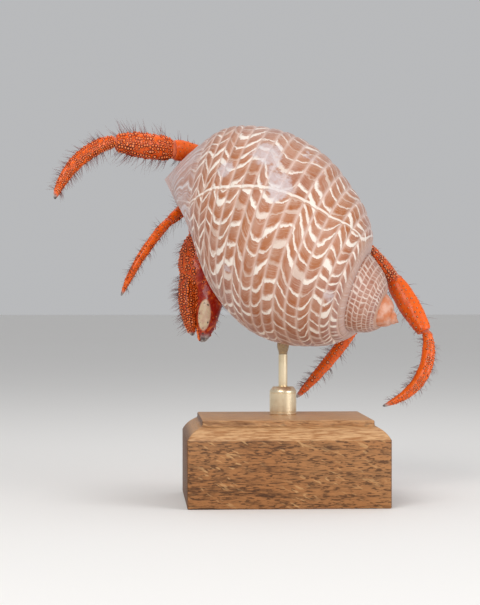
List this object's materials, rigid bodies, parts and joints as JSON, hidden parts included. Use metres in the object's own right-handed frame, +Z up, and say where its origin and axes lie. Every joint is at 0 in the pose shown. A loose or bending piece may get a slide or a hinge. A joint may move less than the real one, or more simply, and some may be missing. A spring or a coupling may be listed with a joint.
{
  "type": "mounted hermit crab specimen",
  "caption": "Hermit crab in a large spiral sea shell, a still life-size model held on a slim brass rod above a moulded hardwood block.",
  "frame": {"origin": "centre of the wooden block's underside", "axes": "+Z up; -Y is the front that the block's long face and the back of the shell show; +X is to that view's right, where the shell's spire points"},
  "size_m": [0.1806, 0.1468, 0.1733],
  "materials": {
    "wood": "satin sawn hardwood with short pale ray flecks, dark end grain at the sides",
    "brass": "satin turned brass",
    "glue": "cloudy amber resin, glossy",
    "shell": "worn sea shell: broad flat cords, tan and mauve brown with white crescents, low gloss",
    "leg": "orange crust with pale dark-ringed tubercles and stiff red-brown setae, satin",
    "claw": "red-orange crust thick with pale dark-ringed tubercles, grey-white tips, satin",
    "shield": "smooth orange plate with pale spots and setae at its edge, satin",
    "soft_body": "soft wrinkled skin, dull",
    "mouthparts_and_feelers": "smooth orange to red crust, satin",
    "eye": "dark glossy cornea"
  },
  "bodies": {
    "root": {"stand_base": "wood", "stand_ferrule": "brass", "stand_rod": "brass", "stand_saddle": "glue", "shell": "shell", "abdomen": "soft_body", "eyestalk_left": "mouthparts_and_feelers", "antennule_left": "mouthparts_and_feelers", "antenna_base_left": "mouthparts_and_feelers", "antenna_left": "mouthparts_and_feelers", "maxilliped_left": "mouthparts_and_feelers", "leg4_left": "mouthparts_and_feelers", "cornea_left": "eye", "eyestalk_right": "mouthparts_and_feelers", "antennule_right": "mouthparts_and_feelers", "antenna_base_right": "mouthparts_and_feelers", "antenna_right": "mouthparts_and_feelers", "maxilliped_right": "mouthparts_and_feelers", "leg4_right": "mouthparts_and_feelers", "cornea_right": "eye", "thorax": "soft_body", "shield": "shield", "leg3_left_merus": "leg", "leg3_left_carpus": "leg", "leg3_left_propodus": "leg", "leg3_left_dactyl": "leg", "leg2_left_merus": "leg", "leg2_left_carpus": "leg", "leg2_left_propodus": "leg", "leg2_left_dactyl": "leg", "leg3_right_merus": "leg", "leg3_right_carpus": "leg", "leg3_right_propodus": "leg", "leg3_right_dactyl": "leg", "leg2_right_merus": "leg", "leg2_right_carpus": "leg", "leg2_right_propodus": "leg", "leg2_right_dactyl": "leg", "claw_left_merus": "claw", "claw_left_carpus": "claw", "claw_left_palm": "claw", "claw_left_finger": "claw", "claw_right_merus": "claw", "claw_right_carpus": "claw", "claw_right_palm": "claw", "claw_right_finger": "claw"}
  },
  "joints": []
}
